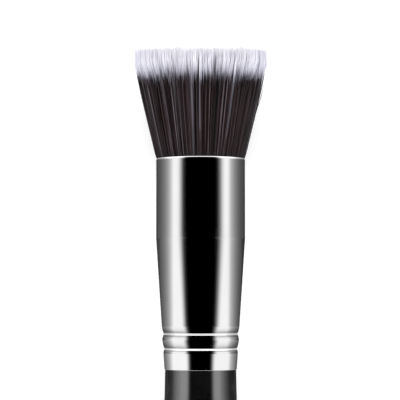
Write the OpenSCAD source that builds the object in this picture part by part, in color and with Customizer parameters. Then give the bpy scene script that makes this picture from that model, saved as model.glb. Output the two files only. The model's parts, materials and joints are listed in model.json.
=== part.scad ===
// Stippling brush with a flat, flared head of two fibres: short dark ones and longer white ones.
// It lies on a table with its head towards +Y. The table is z = 0, and the origin is on it,
// below the middle of the brush. It rests on the rim of the head and on the belly of the handle.
// Heights h run along the brush's own axis, from 0 at the ferrule's mouth up to the fibre tips.

/* [Ferrule] */
// Outside diameter at the mouth and along the straight collar
mouth_d = 20; // [18.5:0.5:24]
// Thickness of the drawn tube
wall = 0.4; // [0.3:0.05:0.6]
// Length of the straight collar below the mouth
collar_l = 18.1; // [12:0.1:26]
// Length of the taper, from the collar to the upper crimp
taper_l = 21.3; // [16:0.1:30]
// Outside diameter that the taper leads down to at the upper crimp
neck_d = 17.2; // [14:0.1:18.6]
// How far the tube turns in from there, down to the root of the upper crimp
crimp_depth = 0.29; // [0.16:0.01:0.36]
// Length over which it turns in
crimp_w = 1.9; // [1.2:0.1:2.4]
// Depth of the fine groove at the root of each crimp
groove_d = 0.05; // [0.02:0.01:0.08]
// Distance between the two crimps
crimp_gap = 3.4; // [2.6:0.1:5]
// Height of the barrel-shaped bead between the crimps
bead_h = 0.42; // [0.2:0.02:0.5]
// How much the tube narrows in diameter from the upper crimp to the lower one
bead_taper = 0.3; // [0:0.02:0.6]
// Length of the tail, from the lower crimp to the lower edge
tail_l = 4.6; // [4:0.1:7]
// How far the tail stands out past the lower crimp
tail_step = 0.13; // [0.06:0.01:0.24]
// How far the tail turns in again towards the lower edge
edge_in = 0.2; // [0.1:0.02:0.26]

/* [Handle] */
// Length of the handle below the ferrule
handle_l = 93; // [75:1:120]
// How far the handle's shoulder lies in from the ferrule's outside
shoulder_step = 0.12; // [0.08:0.01:0.3]
// Diameter of the handle at its belly
belly_d = 17.4; // [16.8:0.1:18.4]
// Distance of the belly below the ferrule
belly_at = 24; // [16:1:34]
// Diameter of the slim end, just before it rounds off
slim_d = 7.4; // [5:0.2:10]
// Length of the rounded end
end_round = 3.4; // [2:0.1:5]
// Length of the tenon inside the ferrule
tenon_l = 17; // [10:0.5:20]
// Space left for glue all round the tenon where the ferrule is narrowest
tenon_gap = 0.08; // [0.04:0.01:0.3]

/* [Fibre head] */
// Length of the white fibres above the mouth
white_l = 24; // [19:0.5:30]
// How far the white fibres stand above the dark ones
band_l = 6.3; // [5.8:0.1:10]
// Length of the upright tips, above the flare
upright_l = 3.2; // [2.6:0.1:3.7]
// Diameter of the head at its widest
head_d = 29.6; // [24:0.2:34]
// How far the spreading fibres stand out past the ferrule, just above its mouth
over_lip = 0.1; // [0:0.05:0.3]
// How unevenly the tips end
ragged = 1; // [0.4:0.1:1.4]
// Number of locks round the outside
lock_count = 48; // [36:2:60]
// Depth of the furrows between the locks, at the mouth
furrow = 0.3; // [0.1:0.05:0.45]
// Height above the mouth that the longest white streaks reach down to, in every other furrow
streak_low = 1.4; // [1.2:0.1:6]
// Thickness of the white strands inside the bundle
strand_w = 0.8; // [0.4:0.1:1.4]
// Clearance between the bundle and the inside of the ferrule
bundle_fit = 0.05; // [0.02:0.01:0.1]
// Thickness of the plug of glue under the fibres, which ends where the collar does
plug_t = 3.8; // [2:0.2:6]

/* [Hidden] */
$fn = 96;

mouth_r = mouth_d / 2;
neck_r = neck_d / 2;
high_crimp_r = neck_r - crimp_depth;
low_crimp_r = high_crimp_r - bead_taper / 2;
end_r = low_crimp_r + tail_step - edge_in;
upper_crimp = -collar_l - taper_l;
lower_crimp = upper_crimp - crimp_gap;
ferrule_end = lower_crimp - tail_l;
groove_w = 0.17;    // half the width of a groove
tail_w = 1.2;       // length over which the tail comes out of the lower crimp
edge_l = 2.6;       // length over which the tail turns in
edge_round = 0.14;  // radius of its lower edge

bundle_r = mouth_r - wall - bundle_fit;
root_l = collar_l - plug_t;
head_r = head_d / 2;
flare_l = white_l - upright_l;
dark_l = white_l - band_l;

shoulder_r = end_r - shoulder_step;
belly_r = belly_d / 2;
slim_r = slim_d / 2;
handle_end = ferrule_end - handle_l;
tenon_r = min(end_r, low_crimp_r - groove_d) - wall - tenon_gap;

// 1 at the root of a crimp, 0 from a distance of w on
function fade(d, w, power) = pow(max(0, 1 - abs(d) / w), power);

// Outside of the ferrule: collar and taper, the bead between the crimps, and the tail
edge_top = ferrule_end + edge_l;
function taper_r(h) = min(mouth_r, lookup(h, [[upper_crimp, neck_r], [-collar_l, mouth_r]]))
    - crimp_depth * fade(h - upper_crimp, crimp_w, 2);
function bead_r(h) = lookup(h, [[lower_crimp, low_crimp_r], [upper_crimp, high_crimp_r]])
    + bead_h * sin(180 * (upper_crimp - h) / crimp_gap);
function tail_r(h) = low_crimp_r + tail_step * (1 - fade(h - lower_crimp, tail_w, 1.6))
    - edge_in * pow(max(0, edge_top - h) / edge_l, 2);
function groove(h) =
    groove_d * (fade(h - upper_crimp, groove_w, 1) + fade(h - lower_crimp, groove_w, 1));
function ferrule_r(h) =
    (h > upper_crimp ? taper_r(h) : h > lower_crimp ? bead_r(h) : tail_r(h)) - groove(h);

// Heights at which the rolled stretch needs points
crimp_top = upper_crimp + crimp_w;
tail_top = lower_crimp - tail_w;
function steps(low, high, n) = [for (i = [0 : n - 1]) low + (high - low) * i / n];
rolled_h = concat(
    steps(ferrule_end + edge_round, edge_top, 5), [edge_top],
    steps(tail_top, lower_crimp - groove_w, 5), [lower_crimp - groove_w, lower_crimp],
    steps(lower_crimp + groove_w, upper_crimp - groove_w, 18), [upper_crimp - groove_w, upper_crimp],
    steps(upper_crimp + groove_w, crimp_top, 6), [crimp_top]);

function edge_pts(n) = [for (i = [0 : n - 1]) let (a = 90 * i / n)
    [ferrule_r(ferrule_end + edge_round) - edge_round * (1 - sin(a)), ferrule_end + edge_round * (1 - cos(a))]];

// The mouth is rounded right over the thickness of the tube
function lip_pts(n) = [for (i = [0 : n]) let (a = 180 * i / n)
    [mouth_r - wall / 2 * (1 - cos(a)), -wall / 2 * (1 - sin(a))]];

// The bore of the ferrule, which the tenon's glue fills from the lower edge up
function bore_pts(low, high) = [for (h = [low, each [for (r = rolled_h) if (r > low && r < high) r], high])
    [ferrule_r(h) - wall, h]];

module drawn_ferrule() {
    outside = concat(edge_pts(4), [for (h = rolled_h) [ferrule_r(h), h]], [[mouth_r, -collar_l]], lip_pts(10));
    bore = concat(bore_pts(ferrule_end, crimp_top), [[mouth_r - wall, -collar_l]]);
    rotate_extrude() polygon(concat(outside, [for (i = [len(bore) - 1 : -1 : 0]) bore[i]]));
}

// Smooth curve from a to b with the given slopes at its ends, at t from 0 to 1 over a length of l
function hermite(a, b, slope_a, slope_b, l, t) =
    a * (2 * pow(t, 3) - 3 * pow(t, 2) + 1) + b * (3 * pow(t, 2) - 2 * pow(t, 3))
    + l * slope_a * (pow(t, 3) - 2 * pow(t, 2) + t) + l * slope_b * (pow(t, 3) - pow(t, 2));

shoulder_slope = 0.02;
slim_slope = -0.03;
shoulder_edge = 0.05;
taper_run = handle_l - belly_at - end_round;
handle_side = concat(
    [[shoulder_r - shoulder_edge, ferrule_end]],
    [for (i = [0 : 8]) let (t = i / 8) [
        hermite(shoulder_r, belly_r, shoulder_slope, 0, belly_at, t),
        ferrule_end - shoulder_edge - (belly_at - shoulder_edge) * t]],
    [for (i = [1 : 14]) let (t = i / 14) [
        hermite(belly_r, slim_r, 0, slim_slope, taper_run, t),
        ferrule_end - belly_at - taper_run * t]],
    [for (i = [1 : 8]) let (a = 90 * i / 8) [
        slim_r * cos(a), handle_end + end_round * (1 - sin(a))]]);

tenon_edge = 0.8;
module turned_handle() {
    rotate_extrude() polygon(concat(
        [[0, ferrule_end + tenon_l], [tenon_r - tenon_edge, ferrule_end + tenon_l],
         [tenon_r, ferrule_end + tenon_l - tenon_edge], [tenon_r, ferrule_end]],
        handle_side));
}

// Resting on a table: the straight line under the rim of the head and the belly of the handle
rest_tilt = min([for (p = handle_side) atan((head_r - p[0]) / (flare_l - p[1]))]);
axis_z = head_r * cos(rest_tilt) - flare_l * sin(rest_tilt);
far_y = white_l * cos(rest_tilt) + head_r * sin(rest_tilt);
near_y = handle_end * cos(rest_tilt);

module lying() {
    translate([0, -(far_y + near_y) / 2, axis_z]) rotate([rest_tilt - 90, 0, 0]) children();
}

// How far the fibres have spread at height h, against their places in the ferrule. They swell over
// the lip within swell_l, and then run straight until they turn upright at flare_l.
swell_l = 0.8;
mouth_spread = (mouth_r + over_lip) / bundle_r;
head_spread = head_r / bundle_r;
function fan(h) = h <= 0 ? 1 : lookup(h, [[0, mouth_spread], [flare_l, head_spread]]);

// Solid through rings of equal count, with flat ends. The faces between rings are split along the
// other diagonal where back is true, so that two solids can share a surface from either side.
module loft(rings, back = false) {
    n = len(rings[0]);
    last = n * (len(rings) - 1);
    sides = [for (k = [0 : n : last - 1]) for (i = [0 : n - 1])
        let (a = k + i, b = k + (i + 1) % n, c = b + n, d = a + n)
        each back ? [[a, d, b], [b, d, c]] : [[a, c, b], [a, d, c]]];
    polyhedron([for (r = rings) each r],
        concat([[for (i = [0 : n - 1]) i]], sides, [[for (i = [n - 1 : -1 : 0]) last + i]]));
}

// The skin of the head runs through four columns of points to a lock: a furrow, a flank, the crest
// and the other flank. White locks lie between the dark ones, two columns on.
depth = [1, 0.3, 0, 0.3];
rise = [0, 0.5, 1, 0.5];
cols = 4 * lock_count;
half_lock = 2;
wobble = rands(-0.3, 0.3, cols, 41);
dark_tips = rands(-0.8 * ragged, 0.8 * ragged, lock_count, 11);
white_tips = rands(-ragged, 0.3 * ragged, lock_count, 23);
streak_lift = rands(0, 9, lock_count, 53);

function turn(j) = 360 / cols * (j + wobble[j]);
function place(j, r, h) = [r * cos(turn(j)), r * sin(turn(j)), h];
function skin(j, h, on = 0) = (bundle_r - furrow * depth[(j + on) % 4]) * fan(h);
function circle_ring(r, h) = [for (j = [0 : cols - 1]) place(j, r, h)];

notch = (flare_l - dark_l) / 2;    // how far the dark tips and their gaps lie from their mean height
core_drop = 3.6;     // how far the dark fibres drop from there towards the middle
core_share = 0.8;    // radius of the middle, against the skin
core_h = dark_l - core_drop;
core_ring = circle_ring(core_share * bundle_r * fan(core_h), core_h);

// Where the colour changes: long white streaks reach down in every other furrow
function change_h(j) =
    j % 8 == 0 ? streak_low + streak_lift[j / 8]
    : dark_l - notch + rise[j % 4] * (2 * notch + dark_tips[floor(j / 4)]);
change_ring = [for (j = [0 : cols - 1]) place(j, skin(j, change_h(j)), change_h(j))];

// The fringe of the white tips
fringe_low = 1.4;    // height at which the white locks part, above the turn of the flare
function fringe_h(j) = let (low = flare_l + fringe_low, k = (j + half_lock) % cols)
    low + rise[k % 4] * (white_l + white_tips[floor(k / 4)] - low);
fringe_ring = [for (j = [0 : cols - 1]) place(j, skin(j, flare_l, half_lock), fringe_h(j))];

top_share = 0.88;    // radius of the flat top inside the fringe, against the head's
top_h = flare_l + fringe_low;
top_ring = circle_ring(top_share * head_r, top_h);

module dark_body() {
    loft([circle_ring(bundle_r, -root_l), circle_ring(bundle_r, 0),
        [for (j = [0 : cols - 1]) place(j, skin(j, swell_l), swell_l)],
        change_ring, core_ring]);
}

module white_body() {
    loft([core_ring, change_ring,
        [for (j = [0 : cols - 1]) place(j, skin(j, flare_l, half_lock), flare_l)],
        fringe_ring, top_ring], back = true);
}

// Many-sided strand of fibres through rings of [distance from the axis, radius, height] to a point
strand_sides = 6;
module strand(rings, tip) {
    n = strand_sides;
    last = n * (len(rings) - 1);
    points = concat([for (r = rings) for (i = [0 : n - 1]) let (a = 360 / n * i)
        [r[0] + r[1] * cos(a), r[1] * sin(a), r[2]]], [tip]);
    sides = [for (k = [0 : n : last - 1]) for (i = [0 : n - 1])
        [k + i, k + n + i, k + n + (i + 1) % n, k + (i + 1) % n]];
    top = [for (i = [0 : n - 1]) [last + i, last + n, last + (i + 1) % n]];
    hull() polyhedron(points, concat([[for (i = [0 : n - 1]) i]], sides, top));
}

// White strands run the whole length inside the bundle, from the glue up
strand_count = 12;
module strands() {
    q = 0.5 * bundle_r;
    for (i = [0 : strand_count - 1])
        rotate(360 / strand_count * i)
            strand([[q, strand_w / 2, -root_l], [q * fan(core_h), strand_w / 2 * fan(core_h), core_h]],
                [q * fan(dark_l), 0, dark_l]);
}

// Pointed locks over the flat top of the head, in rings that lie top_gap apart
top_rings = 5;
top_gap = top_share * head_r / (top_rings + 0.6);
top_tips = rands(-ragged, 0, 3 * top_rings * (top_rings + 1) + 1, 37);
module top_locks() {
    foot = 0.49 * top_gap;
    neck = 0.44 * top_gap;
    sunk = 0.5;
    for (i = [0 : top_rings]) {
        count = max(1, 6 * i);
        for (k = [0 : count - 1])
            rotate(360 / count * k)
                strand([[top_gap * i, foot, top_h - sunk], [top_gap * i, neck, top_h + sunk]],
                    [top_gap * i, 0, white_l + top_tips[max(0, 3 * i * (i - 1) + 1) + k]]);
    }
}

module handle() {
    color([0.06, 0.06, 0.065]) lying() turned_handle();
}

module ferrule() {
    color([0.82, 0.82, 0.84]) lying() drawn_ferrule();
}

module dark_fibres() {
    color([0.16, 0.13, 0.13]) lying() difference() {
        dark_body();
        strands();
    }
}

module white_fibres() {
    color([0.86, 0.86, 0.9]) lying() {
        strands();
        white_body();
        top_locks();
    }
}

module root_glue() {
    color([0.8, 0.74, 0.55]) lying()
        translate([0, 0, -collar_l]) cylinder(r = mouth_r - wall, h = plug_t);
}

module tenon_glue() {
    film_low = ferrule_end + tenon_edge;
    film_top = ferrule_end + tenon_l - tenon_edge;
    color([0.85, 0.8, 0.65]) lying() rotate_extrude() polygon(concat(
        bore_pts(film_low, film_top), [[tenon_r, film_top], [tenon_r, film_low]]));
}

handle();
ferrule();
dark_fibres();
white_fibres();
root_glue();
tenon_glue();
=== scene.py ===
import json
import math

import bpy
import numpy as np
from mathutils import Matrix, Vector


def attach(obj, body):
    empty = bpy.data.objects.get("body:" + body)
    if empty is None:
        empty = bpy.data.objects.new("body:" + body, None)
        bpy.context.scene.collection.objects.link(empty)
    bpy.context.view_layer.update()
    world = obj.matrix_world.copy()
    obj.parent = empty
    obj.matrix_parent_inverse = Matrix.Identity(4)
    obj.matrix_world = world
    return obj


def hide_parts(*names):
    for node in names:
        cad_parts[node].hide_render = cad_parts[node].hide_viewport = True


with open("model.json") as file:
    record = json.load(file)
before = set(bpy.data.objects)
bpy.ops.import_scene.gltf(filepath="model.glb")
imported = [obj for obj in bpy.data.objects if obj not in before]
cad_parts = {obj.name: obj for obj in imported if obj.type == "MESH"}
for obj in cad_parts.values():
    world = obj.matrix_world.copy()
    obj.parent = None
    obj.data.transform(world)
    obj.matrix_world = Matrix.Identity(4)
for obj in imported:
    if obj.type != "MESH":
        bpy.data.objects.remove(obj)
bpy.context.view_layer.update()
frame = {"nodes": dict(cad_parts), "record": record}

mm = 0.001


# The brush's own axis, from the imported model. A height h is 0 at the ferrule's mouth and grows towards the
# fibres' tips.

def cadPoints(*nodes):
    # every corner of these CAD nodes, in metres
    found = []
    for name in nodes:
        corners = frame["nodes"][name].data.vertices
        flat = np.empty(3 * len(corners), np.float32)
        corners.foreach_get("co", flat)
        found.append(flat.reshape(-1, 3).astype(float))
    return np.concatenate(found)


collar = frame["record"]["mounts"][0]
headward = -np.array(collar["axis"]) / np.linalg.norm(collar["axis"])
sideways = np.array([1.0, 0.0, 0.0])
downward = np.cross(headward, sideways)      # square to the axis, away from the camera
ferruleAlong = (cadPoints("ferrule") - np.array(collar["pos_m"])) @ headward
mouth = np.array(collar["pos_m"]) + headward * ferruleAlong.max()


def toWorld(points):
    # brush millimetres (across, down, h) to world metres
    return mouth + mm * (points @ np.stack([sideways, downward, headward]))


def toBrush(points):
    return (points - mouth) @ np.stack([sideways, downward, headward], axis=1) / mm


def reach(*nodes):
    # lowest and highest h of these nodes, and their largest radius, in millimetres
    own = toBrush(cadPoints(*nodes))
    return own[:, 2].min(), own[:, 2].max(), np.hypot(own[:, 0], own[:, 1]).max()


shorter = 0.08           # the photo shows this much less of the ferrule's lower end
ferruleEnd, mouthH, mouthR = reach("ferrule")
ferruleEnd += shorter
handleEnd, tenonTop, bellyR = reach("handle")
rootEnd, tipH, headR = reach("dark_fibres", "white_fibres")
print(f"frame read: ferrule from {ferruleEnd:.2f} to {mouthH:.2f} mm, radius {mouthR:.2f}")
print(f"frame read: fibres from {rootEnd:.2f} to {tipH:.2f} mm, radius {headR:.2f}")
print(f"frame read: handle down to {handleEnd:.2f} mm, radius {bellyR:.2f}")


# Shader maths

class Value:
    # One socket of a node tree: + - * / on it add Math nodes. All of them are numbers or shades of grey.
    def __init__(self, sheet, socket):
        self.sheet = sheet
        self.socket = socket

    def __add__(self, other):
        return self.sheet.math("ADD", self, other)

    def __radd__(self, other):
        return self.sheet.math("ADD", other, self)

    def __sub__(self, other):
        return self.sheet.math("SUBTRACT", self, other)

    def __rsub__(self, other):
        return self.sheet.math("SUBTRACT", other, self)

    def __mul__(self, other):
        return self.sheet.math("MULTIPLY", self, other)

    def __rmul__(self, other):
        return self.sheet.math("MULTIPLY", other, self)

    def __truediv__(self, other):
        return self.sheet.math("DIVIDE", self, other)

    def __rtruediv__(self, other):
        return self.sheet.math("DIVIDE", other, self)


class Sheet:
    # A node tree, and the one way to add a node to it
    def __init__(self, tree):
        self.tree = tree
        tree.nodes.clear()

    def node(self, kind, settings=None, inputs=None, output=0):
        made = self.tree.nodes.new(kind)
        for name, setting in (settings or {}).items():
            if name == "stops":
                self.setStops(made.color_ramp, setting)
            else:
                setattr(made, name, setting)
        for name, given in (inputs or {}).items():
            if isinstance(given, Value):
                self.tree.links.new(given.socket, made.inputs[name])
            else:
                made.inputs[name].default_value = given
        return Value(self, made.outputs[output]) if len(made.outputs) else made

    def setStops(self, ramp, stops):
        while len(ramp.elements) < len(stops):
            ramp.elements.new(0.5)
        for element, (place, colour) in zip(ramp.elements, stops):
            element.position = place
            element.color = (*colour, 1) if isinstance(colour, tuple) else (colour, colour, colour, 1)

    def math(self, operation, first, second=0.0):
        return self.node("ShaderNodeMath", {"operation": operation}, {0: first, 1: second})

    def clamp(self, given):
        return self.node("ShaderNodeClamp", {}, {0: given})

    def rise(self, given, start, end):
        # 0 up to start and 1 from end on, or the other way round where end is the smaller one
        return self.clamp((given - start) / (end - start))

    def mix(self, factor, first, second):
        # blends two colours
        colours = {6: first, 7: second}
        for name, given in colours.items():
            if isinstance(given, tuple):
                colours[name] = (*given, 1)
        return self.node("ShaderNodeMix", {"data_type": "RGBA"}, {0: factor, **colours}, output=2)

    def ramp(self, factor, stops):
        return self.node("ShaderNodeValToRGB", {"stops": stops}, {0: factor})

    def noise(self, vector, scale, detail, roughness):
        return self.node("ShaderNodeTexNoise", {}, {
            "Vector": vector, "Scale": scale, "Detail": detail, "Roughness": roughness})

    def grain(self, places, scales, detail, roughness):
        # noise over two or three numbers, each of them drawn out by its own scale
        scaled = [place * scale for place, scale in zip(places, scales)]
        vector = self.node("ShaderNodeCombineXYZ", {}, dict(enumerate(scaled)))
        return self.noise(vector, 1.0, detail, roughness)

    def marks(self):
        # the three numbers that a piece's mesh carries at each point
        stored = self.node("ShaderNodeAttribute", {"attribute_name": pointMarks}, {}, output="Vector")
        return [self.node("ShaderNodeSeparateXYZ", {}, {0: stored}, output=axis) for axis in "XYZ"]

    def bump(self, height, distance, strength):
        return self.node("ShaderNodeBump", {}, {"Height": height, "Distance": distance, "Strength": strength})


def newMaterial(name):
    material = bpy.data.materials.new(name)
    material.use_nodes = True
    return material, Sheet(material.node_tree)


def finishSurface(sheet, surface):
    # surface holds what the Principled shader's sockets get
    shader = sheet.node("ShaderNodeBsdfPrincipled", {}, surface)
    sheet.node("ShaderNodeOutputMaterial", {}, {"Surface": shader})


# Meshes

pointMarks = "marks"
bakeMap = "OFBake"       # the name of a piece's own map, for baking
tiny = 1e-6


def makePiece(name, points, faces, marks, bakeCorners, material):
    # points in brush millimetres; marks: three numbers a point; bakeCorners: (u, v) of each face corner
    mesh = bpy.data.meshes.new(name)
    mesh.vertices.add(len(points))
    mesh.vertices.foreach_set("co", toWorld(points).astype(np.float32).ravel())
    sizes = np.array([len(face) for face in faces])
    corners = np.concatenate(faces)
    mesh.loops.add(len(corners))
    mesh.loops.foreach_set("vertex_index", corners.astype(np.int32))
    mesh.polygons.add(len(sizes))
    mesh.polygons.foreach_set("loop_start", (np.cumsum(sizes) - sizes).astype(np.int32))
    mesh.update(calc_edges=True)
    mesh.shade_smooth()
    stored = mesh.attributes.new(pointMarks, "FLOAT_VECTOR", "POINT")
    stored.data.foreach_set("vector", marks.astype(np.float32).ravel())
    layer = mesh.uv_layers.new(name=bakeMap)
    layer.uv.foreach_set("vector", bakeCorners.astype(np.float32).ravel())
    mesh.validate()
    mesh.materials.append(material)
    piece = bpy.data.objects.new(name, mesh)
    bpy.context.scene.collection.objects.link(piece)
    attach(piece, "root")
    return piece


def turnedPiece(name, outline, sides, closed, material):
    # Turns an outline of (radius, h) round the axis. A radius of 0 becomes a pole. A closed outline is a
    # tube's section, and an open one runs from pole to pole.
    outline = np.array(outline, float)
    run = np.concatenate([[0], np.cumsum(np.hypot(*np.diff(outline, axis=0).T))])
    run = run / (run[-1] + (np.hypot(*(outline[-1] - outline[0])) if closed else 0))
    turn = 2 * math.pi * np.arange(sides) / sides
    points, first = [], []
    for radius, h in outline:
        first.append(len(points))
        if radius == 0:
            points.append((0, 0, h))
        else:
            points.extend(zip(radius * np.cos(turn), radius * np.sin(turn), np.full(sides, h)))
    faces, bake = [], []
    count = len(outline)
    for k in range(count if closed else count - 1):
        n = (k + 1) % count
        low, high = run[k], run[n] if n else 1.0
        for j in range(sides):
            i = (j + 1) % sides
            left, right = j / sides, (j + 1) / sides
            if outline[k][0] == 0:
                faces.append((first[k], first[n] + i, first[n] + j))
                bake += [(left, low), (right, high), (left, high)]
            elif outline[n][0] == 0:
                faces.append((first[k] + j, first[k] + i, first[n]))
                bake += [(left, low), (right, low), (left, high)]
            else:
                faces.append((first[k] + j, first[k] + i, first[n] + i, first[n] + j))
                bake += [(left, low), (right, low), (right, high), (left, high)]
    points = np.array(points)
    radii = np.hypot(points[:, 0], points[:, 1]).clip(tiny)
    marks = np.stack([points[:, 0] / radii, points[:, 1] / radii, points[:, 2]], axis=1)
    return makePiece(name, points, faces, marks, np.array(bake), material)


def quarterRound(steps, start=0.0):
    # angles of a quarter turn from here on
    return np.linspace(start, start + math.pi / 2, steps)


# Ferrule

ferrule = {              # millimetres
    "wall": 0.4,
    "collarL": 18.1,
    "taperL": 21.3,
    "neckR": 8.6,        # where the taper's straight line ends
    "crimpDepth": 0.31,
    "crimpW": 1.7,
    "crimpSwell": 0.3,   # the shoulder sets off with this part of a straight line's slope
    "crimpGap": 3.35,
    "grooveD": 0.058,
    "grooveW": 0.18,
    "beadR": 8.61,
    "beadAt": 1.3,       # below the upper crimp
    "beadSwell": {"upper": 0.34, "lower": 0.45},     # the bead's two halves set off with these parts
    "lowR": 8.15,        # at the lower crimp
    # how far below the lower crimp each turn of the tail is, and how far out
    "tailSteps": [(0, 0), (0.25, 0.083), (0.47, 0.146), (0.69, 0.187), (0.9, 0.205)],
    "edgeIn": 0.25,      # from there it turns in by this much, down to the lower edge
    "edgeRound": 0.05,
    # how far in from the outside each turn of the lip is, and how far below the mouth
    "lip": [(0, 0.29), (0.004, 0.24), (0.012, 0.218), (0.092, 0.075), (0.112, 0.046), (0.15, 0.014),
            (0.2, 0)],
    "lipRoom": 0.32,     # below the mouth, free of other rings
}
ferrule["upperCrimp"] = -ferrule["collarL"] - ferrule["taperL"]
ferrule["lowerCrimp"] = ferrule["upperCrimp"] - ferrule["crimpGap"]

ferruleRings = {         # how finely the ferrule is turned
    "sides": 192,
    "fineStep": 0.12,    # between rings at the crimps and the tail
    "fineAbove": 3,      # and up to this far above the upper crimp
    "upperCount": 48,    # rings from there up to the top one
    "topRing": 0.5,      # below the mouth
    "turnSteps": [0.0, 0.012, 0.05],                 # rings to either side of each turn of the outside
    "turnRoom": 0.05,
    "grooveSteps": [0, 0.008, 0.05, 0.1, 0.14, 0.17, 0.18, 0.195, 0.24],
    "grooveRoom": 0.29,
    "roundSteps": 9,
}


def swell(share, slope):
    # from 0 to 1, setting off with this part of a straight line's slope
    return share * slope + share ** 2 * (1 - slope)


def ferruleR(h):
    # outside radius at this height
    f = ferrule
    high, low = f["upperCrimp"], f["lowerCrimp"]
    taper = (np.interp(h, [high, -f["collarL"]], [f["neckR"], mouthR])
             - f["crimpDepth"] * swell(np.clip(1 - (h - high) / f["crimpW"], 0, 1), f["crimpSwell"]))

    def beadHalf(endR, length, slope):
        away = np.clip(np.abs(high - h - f["beadAt"]) / length, 0, 1)
        return f["beadR"] - (f["beadR"] - endR) * swell(away, slope)

    bead = np.where(high - h < f["beadAt"],
                    beadHalf(f["neckR"] - f["crimpDepth"], f["beadAt"], f["beadSwell"]["upper"]),
                    beadHalf(f["lowR"], f["crimpGap"] - f["beadAt"], f["beadSwell"]["lower"]))
    edgeTop = low - f["tailSteps"][-1][0]
    tail = (f["lowR"] + np.interp(low - h, *zip(*f["tailSteps"]))
            - f["edgeIn"] * np.clip((h - edgeTop) / (ferruleEnd - edgeTop), 0, None))
    grooves = sum(f["grooveD"] * np.clip(1 - np.abs(h - root) / f["grooveW"], 0, 1) for root in (high, low))
    return np.where(h >= high, taper, np.where(h >= low, bead, tail)) - grooves


def withRingsAt(heights, places, steps, room):
    # rings at these steps to either side of each place, and no others within the room there
    kept = {h for h in heights if min(abs(h - place) for place in places) > room}
    return kept | {place + side * step for place in places for step in steps for side in (-1, 1)}


def outsideHeights(edge):
    # Heights of the outside's rings. They stand close together where the line turns, which keeps its turns
    # sharp in the smooth shading.
    f, rings = ferrule, ferruleRings
    high, low = f["upperCrimp"], f["lowerCrimp"]
    fineTop = high + rings["fineAbove"]
    heights = set(np.arange(edge + rings["fineStep"], fineTop, rings["fineStep"]))
    heights |= set(np.linspace(fineTop, -rings["topRing"], rings["upperCount"]))
    turns = [-f["collarL"], high + f["crimpW"], high - f["beadAt"]]
    turns += [low - drop for drop, _ in f["tailSteps"][1:]]
    heights = withRingsAt(heights, turns, rings["turnSteps"], rings["turnRoom"])
    heights = withRingsAt(heights, [high, low], rings["grooveSteps"], rings["grooveRoom"])
    return sorted(h for h in heights if h < -f["lipRoom"])


def ferruleOutline():
    # up the outside from the lower edge, over the rounded mouth and down the bore
    f = ferrule
    steps = ferruleRings["roundSteps"]
    edge = ferruleEnd + f["edgeRound"]
    rounded = [(ferruleR(edge) - f["edgeRound"] * (1 - math.sin(a)), edge - f["edgeRound"] * math.cos(a))
               for a in quarterRound(steps)]
    heights = outsideHeights(edge)
    outside = [(ferruleR(h), h) for h in heights]
    half = f["wall"] / 2
    lip = [(mouthR - inward, -drop) for inward, drop in f["lip"]]
    lip += [(mouthR - half * (1 - math.cos(a)), -half * (1 - math.sin(a)))
            for a in quarterRound(steps, math.pi / 2)[1:]]
    bore = [(ferruleR(h) - f["wall"], h) for h in reversed(heights)]
    return rounded + outside + lip + bore + [(ferruleR(ferruleEnd) - f["wall"], ferruleEnd)]


brightMetal = {
    "rings": ((0.05, 0.05, 14), 3.0, 0.6),       # scales, detail and roughness of the noise
    "haze": ((2, 2, 0.16), 3.0, 0.55),
    "colours": [(0.3, (0.93, 0.93, 0.935)), (0.75, (0.90, 0.90, 0.91))],
    "roughness": 0.02,
    "hazeAdds": 0.025,
    "ringsAdd": 0.01,
    "ringDepth": 0.00002,    # metres
    "ringStrength": 0.015,
}


def chrome():
    # bright drawn metal: faint rings from the polishing wheel, a little haze where it was handled
    look = brightMetal
    material, sheet = newMaterial("bright_metal")
    places = sheet.marks()
    ringed = sheet.grain(places, *look["rings"])
    hazy = sheet.grain(places, *look["haze"])
    finishSurface(sheet, {
        "Base Color": sheet.ramp(hazy, look["colours"]),
        "Metallic": 1.0,
        "Roughness": look["roughness"] + hazy * look["hazeAdds"] + ringed * look["ringsAdd"],
        "Normal": sheet.bump(ringed, look["ringDepth"], look["ringStrength"]),
    })
    return material


def makeFerrule():
    piece = turnedPiece("ferrule_tube", ferruleOutline(), ferruleRings["sides"], True, chrome())
    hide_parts("ferrule")
    print("ferrule turned")


# Handle

handle = {               # millimetres
    "shoulderR": 7.97,
    "shoulderSlope": 0.02,   # outwards, going down
    "straight": 3.8,     # length of the shoulder
    "shoulderEdge": 0.05,
    "shoulderRings": (0, 0.02, 0.06, 0.5, 1.5, 2.6),     # below the shoulder's edge
    "bellyAt": 24.0,     # below the ferrule
    "bellyRings": 25,
    "slimR": 3.7,
    "slimSlope": -0.03,
    "slimRings": 61,
    "endRound": 3.4,
    "endRings": 17,
    "tenonR": 7.61,
    "tenonEdge": 0.8,
    "sides": 144,
}


def smoothCurve(a, b, slopeA, slopeB, length, t):
    # from a to b over this length, with these slopes at its ends; t runs from 0 to 1
    return (a * (2 * t ** 3 - 3 * t ** 2 + 1) + b * (3 * t ** 2 - 2 * t ** 3)
            + length * slopeA * (t ** 3 - 2 * t ** 2 + t) + length * slopeB * (t ** 3 - t ** 2))


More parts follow.
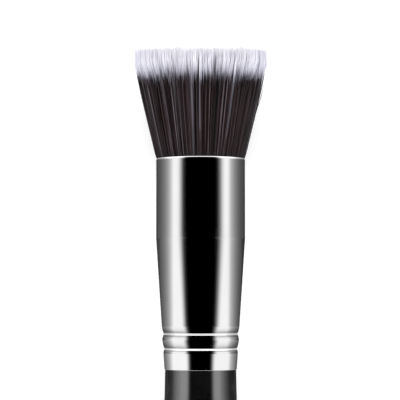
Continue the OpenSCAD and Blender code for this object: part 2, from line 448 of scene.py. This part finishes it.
def handleOutline():
    # from the top of the tenon down to the rounded end
    s = handle
    edge, straight, slope = s["shoulderEdge"], s["straight"], s["shoulderSlope"]
    tenon = [(0, tenonTop), (s["tenonR"] - s["tenonEdge"], tenonTop),
             (s["tenonR"], tenonTop - s["tenonEdge"]), (s["tenonR"], ferruleEnd),
             (s["shoulderR"] - edge, ferruleEnd)]
    shoulder = [(s["shoulderR"] + slope * d, ferruleEnd - edge - d) for d in s["shoulderRings"]]
    swelling = s["bellyAt"] - straight
    belly = [(smoothCurve(s["shoulderR"] + slope * straight, bellyR, slope, 0, swelling, t),
              ferruleEnd - straight - swelling * t) for t in np.linspace(0, 1, s["bellyRings"])]
    run = ferruleEnd - handleEnd - s["bellyAt"] - s["endRound"]
    lower = [(smoothCurve(bellyR, s["slimR"], 0, s["slimSlope"], run, t),
              ferruleEnd - s["bellyAt"] - run * t) for t in np.linspace(0, 1, s["slimRings"])[1:]]
    cap = [(s["slimR"] * math.cos(a), handleEnd + s["endRound"] * (1 - math.sin(a)))
           for a in quarterRound(s["endRings"])[1:-1]]
    return tenon + shoulder + belly + lower + cap + [(0, handleEnd)]


blackLacquer = {
    "waves": ((1.2, 1.2, 0.12), 2.0, 0.5),       # scales, detail and roughness of the noise
    "grain": ((9, 9, 1.4), 4.0, 0.6),
    "colours": [(0.3, (0.0035, 0.0035, 0.004)), (0.7, (0.007, 0.0065, 0.0065))],
    "roughness": 0.02,
    "grainAdds": 0.035,
    "heldAdds": 0.17,    # where fingers hold it
    "heldFrom": 5,       # millimetres below the ferrule
    "heldFully": 15,
    "ior": 2.4,
    "specular": 0.7,
    "waveDepth": 0.0002,     # metres
    "waveStrength": 0.06,
}


def lacquer():
    # deep black lacquer, with the slow waviness of a dipped and dried coat
    look = blackLacquer
    material, sheet = newMaterial("black_lacquer")
    places = sheet.marks()
    wavy = sheet.grain(places, *look["waves"])
    fine = sheet.grain(places, *look["grain"])
    held = sheet.rise(places[2], ferruleEnd - look["heldFrom"], ferruleEnd - look["heldFully"])
    finishSurface(sheet, {
        "Base Color": sheet.ramp(wavy, look["colours"]),
        "Roughness": look["roughness"] + fine * look["grainAdds"] + held * look["heldAdds"],
        "IOR": look["ior"],
        "Specular IOR Level": look["specular"],
        "Normal": sheet.bump(wavy, look["waveDepth"], look["waveStrength"]),
    })
    return material


def makeHandle():
    outline = list(reversed(handleOutline()))
    piece = turnedPiece("handle_turned", outline, handle["sides"], False, lacquer())
    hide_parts("handle")
    print("handle turned")


# Fibres

bundle = {               # millimetres, and shares of the bundle's radius
    "rootH": -1.0,
    "lipH": 0.9,         # where the fibres have swollen out over the mouth
    # heights, and the bundle's outside radius there; the flare turns upright from about 20 mm on
    "skin": [(-1.5, 9.42), (0.0, 9.46), (0.9, 10.16), (9.0, 12.12), (16.5, 13.95), (19.6, 14.58),
             (21.4, 14.8), (24.5, 14.96)],
    "darkFrom": 17.25,   # where the first dark fibres end
    "darkFade": 1.6,     # how far further up a third of them still reach
    "darkFadeMost": 2.7,
    "darkVary": 0.25,
    "darkLimits": (-1, 1),
    "darkWave": 0.08,    # waves round the head in the height of the dark, and how many of each there are
    "waveCounts": (5, 9, 14, 23, 31),
    "sideDrop": 0.3,     # the dark ones end this much lower at the sides and higher at the front and back
    "whiteVary": 0.45,
    "whiteLimits": (-1.4, 1.0),
    "whiteShort": 2.0,   # a third of the white fibres end further below the top than this
    "whiteShortMost": 6,
    "sideRise": 0.9,     # the top is this much higher at the sides and lower at the front and back
    "tuck": 0.25,        # share by which the white fibres start below the skin
    "tuckEnd": 21.0,     # they reach it here
    "streakFrom": (-12, 12),     # the streaks start to come out of the skin between these heights
    "streakOver": 6,     # they take this much height to do it
    "streakDeep": 0.03,  # below the skin before
    "streakProud": 0.005,        # and above it after
    "lockR": 0.021,
    "lockJitter": 0.4,   # times the distance between locks
    "thick": 0.165,
    "ringGap": 0.9,      # at least, between the rings below a fibre's tip
    "wander": 0.009,     # how far fibres leave their lock
    "bow": 0.006,
    "strays": 0.012,     # share of fibres that leave it much further
    "strayWander": 3.5,
    "strayOut": 1.03,    # and may come out of the skin this far
    "strands": 290,      # thin strands round the head that differ in shade
    "lockShades": (0.05, 0.95),  # limits of a lock's shade, and of a single fibre's
    "fibreShades": (0.03, 0.97),
    "mapWidth": 0.012,   # how much of the bake's map a fibre takes to either side
    "mapOver": 1,        # how far over the CAD model's tips that map goes up
    "girths": (0.8, 1.15),
    "tipGirth": 0.8,     # at the last ring
    "overSurface": 0.01,     # fibres stay this far off what the brush lies on
}

# each: fibres in a lock. share: part of the bundle's radius that the locks fill. rings: heights of a
# fibre's rings. thick: times the bundle's. spread, gather: how wide a lock is, and how far it draws together
# towards its tips. shade: the middle one. lockVary, vary, bands: how far locks, fibres and strands are from
# it. paintedSideShade: painted shade, how much darker the locks at the sides of the head are made.
groups = {
    "dark_fibres_outer": {
        "locks": 700, "each": 12, "share": (0.84, 0.995), "rings": [-1.0, 0.9, 9.0, 14.0], "thick": 1.0,
        "spread": 3.4, "gather": 0.1,
        "shade": 0.405, "lockVary": 0.03, "vary": 0.21, "bands": 0.22, "paintedSideShade": 0},
    "dark_fibres_inner": {
        "locks": 575, "each": 9, "share": (0.0, 0.84), "rings": [-1.0, 13.0], "thick": 1.15,
        "spread": 1.25, "gather": 0.55,
        "shade": 0.42, "lockVary": 0.2, "vary": 0.1, "bands": 0, "paintedSideShade": 0},
    "white_fibres_outer": {
        "locks": 700, "each": 12, "share": (0.84, 0.995), "rings": [-1.0, 0.9, 17.5, 21.0], "thick": 1.35,
        "spread": 4.2, "gather": 0.0,
        "shade": 0.68, "lockVary": 0.04, "vary": 0.05, "bands": 0.07, "paintedSideShade": 0.34},
    "white_fibres_inner": {
        "locks": 1150, "each": 10, "share": (0.0, 0.84), "rings": [-1.0, 20.6, 23.4], "thick": 1.3,
        "spread": 2.4, "gather": 0.1,
        "shade": 0.68, "lockVary": 0.04, "vary": 0.05, "bands": 0, "paintedSideShade": 0},
    # white fibres that come out through the dark skin in single places, and lie just outside it
    "white_streaks": {
        "locks": 30, "each": 3, "share": (1.03, 1.03), "rings": [-1.0, 0.9, 9.0, 17.5, 20.6], "thick": 1.0,
        "spread": 1.0, "gather": 0.55,
        "shade": 0.45, "lockVary": 0.2, "vary": 0.12, "bands": 0, "paintedSideShade": 0},
}


def skinR(h):
    # outside radius of the bundle
    places, radii = zip(*bundle["skin"])
    return np.interp(h, places, radii)


def lockPlaces(rng, count, low, high):
    # evenly spread lock middles on the bundle's round section, between two shares of its radius
    number = np.arange(count) + 0.5
    share = np.sqrt(low ** 2 + (high ** 2 - low ** 2) * number / count)
    turn = number * math.pi * (3 - math.sqrt(5))
    step = bundle["lockJitter"] * math.sqrt((high ** 2 - low ** 2) / count)
    places = np.stack([share * np.cos(turn), share * np.sin(turn)], axis=1)
    return places + rng.normal(0, step, places.shape)


def spreadRound(rng, count):
    # random places in a round of radius 1
    turn = rng.uniform(0, 2 * math.pi, count)
    return np.stack([np.cos(turn), np.sin(turn)], axis=1) * np.sqrt(rng.uniform(0, 1, count))[:, None]


def growFibres(rng, group, locks, tips, shades, under):
    # Returns the ring centres (fibre, ring, 3), the tips and the shade of each fibre. A ring stays below
    # its fibre's own tip, and under(h) is how far below the skin a fibre runs at height h.
    b = bundle
    lockOf = np.repeat(np.arange(len(locks)), group["each"])
    count = len(lockOf)
    offset = spreadRound(rng, count) * b["lockR"] * group["spread"]
    wander = rng.normal(0, b["wander"], (count, 2))
    bow = rng.normal(0, b["bow"], (count, 2))
    strays = rng.uniform(0, 1, count) < b["strays"]
    wander[strays] *= b["strayWander"]
    apart = rng.normal(0, group["bands"], b["strands"])
    strand = np.arctan2(*(locks[lockOf] + offset).T) / (2 * math.pi) * len(apart)
    shade = shades[lockOf] + apart[strand.astype(int)] + rng.normal(0, group["vary"], count)

    def centre(h):
        upto = np.clip((h - b["lipH"]) / (tipH - b["lipH"]), 0, 1)
        at = locks[lockOf] + offset * (1 - group["gather"] * upto)[:, None]
        at += wander * upto[:, None] + bow * np.sin(math.pi * upto)[:, None]
        out = np.hypot(at[:, 0], at[:, 1])
        limit = np.where(strays & (upto > 0.5), b["strayOut"], 1.0)
        at *= (np.minimum(out, limit) / out)[:, None]
        at *= ((1 - under(h)) * skinR(h))[:, None]
        return np.concatenate([at, h[:, None]], axis=1)

    ringCount = len(group["rings"])
    rings = [centre(np.minimum(height, tips - (ringCount - k) * b["ringGap"]))
             for k, height in enumerate(group["rings"])]
    return np.stack(rings, axis=1), centre(tips), shade.clip(*b["fibreShades"])


def fibreFaces(ringCount):
    # the triangles of one fibre, whose points are three to a ring and then the tip
    faces = [[0, 2, 1]]
    for low in range(0, 3 * ringCount - 3, 3):
        high = low + 3
        for s in range(3):
            n = (s + 1) % 3
            faces += [[low + s, low + n, high + n], [low + s, high + n, high + s]]
    last = 3 * (ringCount - 1)
    return np.array(faces + [[last + s, last + (s + 1) % 3, 3 * ringCount] for s in range(3)])


def fibreMesh(name, rng, rings, tips, shade, thick, material, slot):
    # a three-sided tube with a pointed tip for every fibre
    b = bundle
    count, ringCount = rings.shape[:2]
    turn = rng.uniform(0, 2 * math.pi, count)[:, None] + 2 * math.pi / 3 * np.arange(3)
    girth = (0.5 * thick * rng.uniform(*b["girths"], count))[:, None, None]
    narrowed = np.ones((ringCount, 1))
    narrowed[-1] = b["tipGirth"]
    ringPoints = np.repeat(rings[:, :, None, :], 3, axis=2)
    ringPoints[..., 0] += np.cos(turn)[:, None, :] * girth * narrowed
    ringPoints[..., 1] += np.sin(turn)[:, None, :] * girth * narrowed
    points = np.concatenate([ringPoints.reshape(count, -1, 3), tips[:, None, :]], axis=1)
    h = points[:, :, 2]
    surface = -(mouth[2] / mm + h * headward[2]) / downward[2]       # what the brush lies on
    points[:, :, 1] = np.minimum(points[:, :, 1], surface - b["overSurface"])
    stride = 3 * ringCount + 1
    faces = (stride * np.arange(count)[:, None, None] + fibreFaces(ringCount)).reshape(-1, 3)
    upto = (h - b["rootH"]) / (tipH + b["mapOver"] - b["rootH"])
    side = np.append(np.tile([-b["mapWidth"], 0, b["mapWidth"]], ringCount), 0)
    marks = np.stack([shade[:, None] + side, upto, np.zeros_like(upto)], axis=2).reshape(-1, 3)
    piece = makePiece(name, points.reshape(-1, 3), faces, marks, marks[faces.ravel(), :2], material)
    piece.data.shade_flat()
    return piece


def fibreSurface(sheet, colour, mottled, look):
    finishSurface(sheet, {
        "Base Color": colour,
        "Roughness": look["roughness"] + mottled * look["mottlesAdd"],
        "Specular IOR Level": look["specular"],
    })


# A mesh gives each fibre a place in its palette, and says how far up it a point is. The painted shade stops
# say how much of the painted shade colour it has there. Mottles: scales, detail and roughness of the noise.
darkFibre = {
    "mottles": ((60, 5), 2.0, 0.6),
    "palette": [(0.0, (0.0016, 0.0005, 0.0005)), (0.25, (0.0071, 0.0022, 0.0023)),
                (0.45, (0.0170, 0.0059, 0.0064)), (0.65, (0.0335, 0.0150, 0.0172)),
                (0.85, (0.0630, 0.0400, 0.0470)), (1.0, (0.125, 0.105, 0.125))],
    # painted shade: the dark fibres turn darker right at the ferrule's mouth
    "paintedShadeColour": (0.004, 0.003, 0.003),
    "paintedShadeStops": [(0.02, 0.5), (0.1, 0.0)],
    "mottling": 0.3,
    "roughness": 0.38,
    "mottlesAdd": 0.12,
    "specular": 0.4,
}

whiteFibre = {
    "mottles": ((60, 5), 2.0, 0.6),
    "palette": [(0.0, (0.10, 0.095, 0.12)), (0.14, (0.28, 0.27, 0.34)), (0.3, (0.60, 0.60, 0.69)),
                (0.6, (0.74, 0.73, 0.79)), (0.8, (0.84, 0.83, 0.88)), (1.0, (0.9, 0.89, 0.93))],
    # painted shade: the white fibres turn a darker bluish grey further down the head, where they lie in shade
    "paintedShadeColour": (0.36, 0.36, 0.46),
    "paintedShadeStops": [(0.3, 0.95), (0.66, 0.85), (0.72, 0.7), (0.78, 0.4), (0.84, 0.12), (0.9, 0.0)],
    "mottling": 0.12,
    "roughness": 0.42,
    "mottlesAdd": 0.12,
    "specular": 0.4,
}

streakFibre = {
    "mottles": ((60, 9), 2.0, 0.6),
    "palette": [(0.0, (0.006, 0.0035, 0.0035)), (0.2, (0.03, 0.022, 0.026)), (0.4, (0.075, 0.066, 0.08)),
                (0.6, (0.14, 0.13, 0.16)), (0.7, (0.35, 0.345, 0.41)), (0.85, (0.75, 0.745, 0.82)),
                (1.0, (0.9, 0.89, 0.94))],
    # how much of the place in the palette comes from these; the palette's grey is painted shade
    "byShade": 0.45,
    "paintedShadeLiftByHeight": 0.25,
    "mottling": 0.25,
    # painted shade that lifts towards the tips
    "paintedShadeLiftNearTips": [(0.62, 0.0), (0.8, 0.42)],
    "roughness": 0.42,
    "mottlesAdd": 0.12,
    "specular": 0.4,
}


def bundleFibres(name, look):
    material, sheet = newMaterial(name)
    shade, upto, _ = sheet.marks()
    mottled = sheet.grain((shade, upto), *look["mottles"])
    colour = sheet.ramp(shade + (mottled - 0.5) * look["mottling"], look["palette"])
    # painted shade, mixed in by height
    withPaintedShade = sheet.mix(sheet.ramp(upto, look["paintedShadeStops"]), colour, look["paintedShadeColour"])
    fibreSurface(sheet, withPaintedShade, mottled, look)
    return material


def streakFibres(name, look):
    # white fibres among the dark ones, with painted shade: grey there, less and less so towards the tips
    material, sheet = newMaterial(name)
    shade, upto, _ = sheet.marks()
    mottled = sheet.grain((shade, upto), *look["mottles"])
    place = shade * look["byShade"] + upto * look["paintedShadeLiftByHeight"] + (mottled - 0.5) * look["mottling"]
    colour = sheet.ramp(place + sheet.ramp(upto, look["paintedShadeLiftNearTips"]), look["palette"])
    fibreSurface(sheet, colour, mottled, look)
    return material


def whiteHeights(rng, locks, each):
    # where white fibres end: a flat top, a little higher at the sides of the head
    b = bundle
    share = np.hypot(locks[:, 0], locks[:, 1])
    turn = np.arctan2(locks[:, 1], locks[:, 0])
    lockTips = (tipH + b["sideRise"] * np.cos(2 * turn) * share ** 2
                + rng.normal(0, b["whiteVary"], len(locks)).clip(*b["whiteLimits"]))
    shorterBy = rng.exponential(b["whiteShort"], len(locks) * each).clip(0, b["whiteShortMost"])
    return np.repeat(lockTips, each) - shorterBy


def darkHeights(rng, locks, each):
    # most dark fibres end low, and fewer and fewer reach further up; neighbouring locks differ together
    b = bundle
    turn = np.arctan2(locks[:, 1], locks[:, 0])
    waves = sum(b["darkWave"] * np.sin(n * turn + rng.uniform(0, 6.28)) for n in b["waveCounts"])
    lockTips = (b["darkFrom"] - b["sideDrop"] * np.cos(2 * turn) + waves
                + rng.normal(0, b["darkVary"], len(locks)).clip(*b["darkLimits"]))
    furtherBy = rng.exponential(b["darkFade"], len(locks) * each).clip(0, b["darkFadeMost"])
    return np.repeat(lockTips, each) + furtherBy


def makeGroup(rng, name, locks, heights, under, material, slot):
    # one piece, with all the fibres of these locks
    group = groups[name]
    shades = rng.normal(group["shade"], group["lockVary"], len(locks)).clip(*bundle["lockShades"])
    # painted shade: locks towards the sides of the head are given a darker shade
    shades -= group["paintedSideShade"] * np.abs(locks[:, 0]) ** 4
    tips = heights(rng, locks, group["each"])
    grown = growFibres(rng, group, locks, tips, shades, under)
    return fibreMesh(name, rng, *grown, group["thick"] * bundle["thick"], material, slot)


def makeFibres():
    rng = np.random.default_rng(20)
    b = bundle

    def atSkin(h):
        return 0 * h

    def tucked(h):
        return b["tuck"] * (1 - np.clip((h - b["lipH"]) / (b["tuckEnd"] - b["lipH"]), 0, 1))

    kinds = {
        "dark": (darkHeights, atSkin, bundleFibres("dark_fibre", darkFibre), "dark_fibres"),
        "white": (whiteHeights, tucked, bundleFibres("white_fibre", whiteFibre), "white_fibres"),
    }
    for name in ("dark_fibres_outer", "dark_fibres_inner", "white_fibres_outer", "white_fibres_inner"):
        locks = lockPlaces(rng, groups[name]["locks"], *groups[name]["share"])
        makeGroup(rng, name, locks, *kinds[name.split("_")[0]])
    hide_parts("dark_fibres")
    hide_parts("white_fibres")

    streaks = groups["white_streaks"]
    turn = rng.uniform(0, 2 * math.pi, streaks["locks"])
    locks = streaks["share"][0] * np.stack([np.cos(turn), np.sin(turn)], axis=1)
    comesOut = np.repeat(rng.uniform(*b["streakFrom"], streaks["locks"]), streaks["each"])

    def underSkin(h):
        return b["streakDeep"] * (1 - np.clip((h - comesOut) / b["streakOver"], 0, 1)) - b["streakProud"]

    grey = streakFibres("streak_fibre", streakFibre)
    makeGroup(rng, "white_streaks", locks, whiteHeights, underSkin, grey, "white_fibres")
    print("fibres grown")


# Glue, which is out of sight inside the ferrule

glue = {
    "colours": {
        "root_glue": ((0.62, 0.52, 0.30), (0.5, 0.38, 0.2)),
        "tenon_glue": ((0.70, 0.62, 0.42), (0.6, 0.5, 0.3))},
    "clouds": 900.0,     # a metre
    "roughness": 0.25,
    "cloudsAdd": 0.2,
    "bumpDepth": 0.0001,
    "bumpStrength": 0.3,
}


def setGlue(node):
    material, sheet = newMaterial(node + "_set")
    place = sheet.node("ShaderNodeTexCoord", {}, {}, output="Object")
    cloudy = sheet.noise(place, glue["clouds"], 3.0, 0.55)
    finishSurface(sheet, {
        "Base Color": sheet.mix(cloudy, *glue["colours"][node]),
        "Roughness": glue["roughness"] + cloudy * glue["cloudsAdd"],
        "Normal": sheet.bump(cloudy, glue["bumpDepth"], glue["bumpStrength"]),
    })
    slots = frame["nodes"][node].data.materials
    slots.clear()
    slots.append(material)


# Stage, light and camera

stage = {
    "half": 3.0,         # metres
    "colours": ((0.93, 0.93, 0.93), (0.95, 0.95, 0.95)),
    "speckles": 300.0,   # a metre
    "roughness": 0.9,
    "specular": 0.1,
    "glow": 0.16,        # lifts the floor to the photo's white
}


def makeFloor():
    half = stage["half"]
    mesh = bpy.data.meshes.new("floor")
    corners = [(-half, -half, 0), (half, -half, 0), (half, half, 0), (-half, half, 0)]
    mesh.from_pydata(corners, [], [(0, 1, 2, 3)])
    material, sheet = newMaterial("pale_floor")
    place = sheet.node("ShaderNodeTexCoord", {}, {}, output="Object")
    speckled = sheet.noise(place, stage["speckles"], 3.0, 0.5)
    finishSurface(sheet, {
        "Base Color": sheet.mix(speckled, *stage["colours"]),
        "Roughness": stage["roughness"],
        "Specular IOR Level": stage["specular"],
        "Emission Color": (1.0, 1.0, 1.0, 1.0),
        "Emission Strength": stage["glow"],
    })
    mesh.materials.append(material)
    floor = bpy.data.objects.new("floor", mesh)
    bpy.context.scene.collection.objects.link(floor)
    floor.visible_glossy = False         # so that the metal shows the studio's own light and dark


studio = {
    "dome": 1.5,         # soft light from all sides
    "backdrop": 1.0,
    # brightness of the panels to either side, against the angle round the brush from straight above it
    "left": [(36, 0.0), (41, 0.009), (45.6, 0.06), (50, 0.25), (54, 0.56), (59, 0.84), (63, 0.97),
             (73, 1.0), (78, 0.84), (82.5, 0.64), (93, 0.37), (105, 0.225), (119, 0.142), (136, 0.09),
             (156, 0.06)],
    "right": [(38, 0.0), (44, 0.014), (50.5, 0.165), (55, 0.43), (59, 0.69), (64, 0.9), (68, 0.98),
              (73, 0.97), (78, 0.84), (82.5, 0.62), (88, 0.44), (99, 0.268), (112, 0.155), (127, 0.09),
              (150, 0.058)],
    "brightest": 69,     # the angle of the brightest part of both
    # how the panels dim towards the two ends of the studio, and where the bright walls there begin
    "ends": [(-0.8, 1), (-0.735, 0.47), (-0.66, 0.47), (-0.59, 0.51), (-0.54, 0.66), (-0.48, 0.81),
             (-0.41, 0.91), (-0.33, 0.97), (-0.24, 1), (0.24, 1), (0.33, 0.95), (0.41, 0.88), (0.48, 0.76),
             (0.54, 0.62), (0.6, 0.48), (0.64, 0.48), (0.71, 1)],
    "walls": [(-0.81, 1), (-0.73, 0.5), (-0.62, 0), (0.7, 0), (0.78, 0.5), (0.84, 1)],
    "wallSides": [(0, 1.0), (107, 1.0), (120, 0.72), (132, 0.5), (150, 0.36)],
    "wallGlare": 0.6,    # how much brighter the walls' far ends are
    "wallGlareAt": (0.87, 0.92),
}

# What the ferrule's parts see, as shares along the brush. A pair of numbers is where a change sets in and
# where it is complete.
sight = {
    "collar": 0.0277,    # what the collar's lower end sees; the rest of the collar sees more than this
    "taperTilt": 0.129,  # the taper's slope throws its view this much further down, where it faces up
    "taper": 0.046,      # from what the taper's upper end sees to what its lower end does
    "facingLeast": 0.05,
    "gapFromTaper": (-0.003, -0.008),    # between the taper's view and the collar's
    "gapFromCollar": (0.024, 0.018),
    "gapMoreAt": (-0.02, -0.01),
    "overCollar": (0.07, 0.082),         # beyond the collar's view
    "overCollarLessAt": (0.3, 0.42),
    "underTaper": (0.05, 0.058),         # beyond the taper's view
    "underTaperLessAt": (0.092, 0.11),
    "tailFrom": (-0.0265, -0.022),       # in the tail's view
    "tailTo": (0.021, 0.014),
    "tailFullAt": (0.0, -0.006),
}

# Past both views, the panel overhead draws in and those at the sides reach further out. These say how much.
draw = {
    "gap": 0.9, "gapMore": 0.2,
    "overCollar": 0.68, "overCollarLess": 0.16,
    "underTaper": 1.15, "underTaperLess": 0.9,
    "overhead": 0.228, "overheadRight": 0.025, "overheadTaper": 0.08,
    "sides": 0.375, "sidesMost": 0.8, "sidesTaper": 0.18,
    "tailLeast": 0.3,
    "tailSides": 0.84, "tailSidesAt": (62, 104),     # how far the panels dim there, and at which angles
    "tailRight": 0.42, "tailRightAt": (60, 90),
}


def panelPlace(sheet, along, turn, angle, facing):
    # Returns the angle at which each direction finds the panels, and the share of their light that it gets.
    s, d, rise = sight, draw, sheet.rise
    below = s["collar"] - along - s["taperTilt"] * facing        # 0 where the taper's upper end looks
    low = rise(below, 0, s["taper"])
    gap = rise(below, *s["gapFromTaper"]) * rise(along, *s["gapFromCollar"])
    gap = gap * (d["gap"] + d["gapMore"] * rise(along, *s["gapMoreAt"]))
    over = rise(along, *s["overCollar"])
    over = over * (d["overCollar"] - d["overCollarLess"] * rise(along, *s["overCollarLessAt"]))
    under = rise(below, *s["underTaper"])
    under = under * (d["underTaper"] - d["underTaperLess"] * rise(below, *s["underTaperLessAt"]))
    past = sheet.math("MAXIMUM", gap, sheet.math("MAXIMUM", over, under))
    onTaper = low * (1 - sheet.clamp(past))
    overhead = d["overhead"] + d["overheadRight"] * sheet.clamp(turn)
    dark = 1 - overhead * past - d["overheadTaper"] * onTaper
    bright = 1 + d["sides"] * sheet.math("MINIMUM", past, d["sidesMost"]) + d["sidesTaper"] * onTaper
    inner = sheet.math("MINIMUM", angle / dark, studio["brightest"])
    tail = rise(along, *s["tailFrom"]) * rise(along, *s["tailTo"])
    tail = tail * (d["tailLeast"] + (1 - d["tailLeast"]) * rise(below, *s["tailFullAt"]))
    light = 1 - d["tailSides"] * tail * rise(angle, *d["tailSidesAt"])
    light = light * (1 - d["tailRight"] * tail * rise(turn, *d["tailRightAt"]))
    return sheet.math("MAXIMUM", inner, angle / bright), light


def makeStudio():
    world = bpy.data.worlds.new("studio")
    bpy.context.scene.world = world
    world.use_nodes = True
    world.cycles.sampling_method = "NONE"
    sheet = Sheet(world.node_tree)
    looking = sheet.node("ShaderNodeTexCoord", {}, {}, output="Generated")

    def shareAlong(axis):
        inputs = {0: looking, 1: tuple(axis)}
        return sheet.node("ShaderNodeVectorMath", {"operation": "DOT_PRODUCT"}, inputs, output="Value")

    def againstSteepness(stops):
        # stops from -1 to 1
        return sheet.ramp(steep * 0.5 + 0.5, [((place + 1) / 2, value) for place, value in stops])

    def againstAngle(given, stops):
        # stops from 0 to 180 degrees
        return sheet.ramp(given * (1 / 180), [(degrees / 180, value) for degrees, value in stops])

    along = shareAlong(headward)
    turn = sheet.math("ARCTAN2", shareAlong(sideways), shareAlong(-downward)) * (180 / math.pi)
    angle = sheet.math("ABSOLUTE", turn)
    # how squarely the metal that mirrors this direction to the camera faces it
    facing = sheet.math("MAXIMUM", sheet.math("COSINE", angle * (math.pi / 360)), sight["facingLeast"])
    steep = sheet.math("MINIMUM", sheet.math("MAXIMUM", along / facing, -1.0), 1.0)
    place, light = panelPlace(sheet, along, turn, angle, facing)
    left, right = (againstAngle(place, studio[side]) for side in ("left", "right"))
    panels = sheet.mix(sheet.math("GREATER_THAN", turn), left, right)
    panels = sheet.mix(againstSteepness(studio["ends"]) * light, (0.0, 0.0, 0.0), panels)
    glare = 1 + studio["wallGlare"] * sheet.rise(sheet.math("ABSOLUTE", steep), *studio["wallGlareAt"])
    walls = againstAngle(angle, studio["wallSides"]) * glare
    mirrored = sheet.mix(againstSteepness(studio["walls"]), panels, walls)
    isCamera = sheet.node("ShaderNodeLightPath", output="Is Camera Ray")
    isGlossy = sheet.node("ShaderNodeLightPath", output="Is Glossy Ray")
    seen = sheet.mix(isGlossy, (studio["dome"],) * 3, mirrored)
    seen = sheet.mix(isCamera, seen, (studio["backdrop"],) * 3)
    background = sheet.node("ShaderNodeBackground", {}, {"Color": seen, "Strength": 1.0})
    sheet.node("ShaderNodeOutputWorld", {}, {"Surface": background})


shot = {                 # the photograph's camera, which looks down on the brush
    "distance": 469.0,   # millimetres from the brush's axis
    "overH": -31.11,     # it stands over this height
    "aimH": -9.31,       # and looks at this one
    "shiftX": -0.14,
    "lens": 187.8,
    "sensor": 36.0,
    "clip": (0.01, 20.0),    # metres
}


def makeCamera():
    camera = bpy.data.objects.new("camera", bpy.data.cameras.new("camera"))
    bpy.context.scene.collection.objects.link(camera)
    camera.data.lens = shot["lens"]
    camera.data.sensor_width = shot["sensor"]
    camera.data.clip_start, camera.data.clip_end = shot["clip"]
    stand = Vector(toWorld(np.array([shot["shiftX"], -shot["distance"], shot["overH"]])))
    target = Vector(toWorld(np.array([shot["shiftX"], 0.0, shot["aimH"]])))
    camera.location = stand
    camera.rotation_euler = (target - stand).to_track_quat("-Z", "Y").to_euler()
    bpy.context.scene.camera = camera


bpy.context.scene.view_settings.view_transform = "Standard"
makeCamera()
makeStudio()
makeFloor()
print("camera, studio and floor set")
makeFerrule()
makeHandle()
makeFibres()
setGlue("root_glue")
setGlue("tenon_glue")
print("glue set")
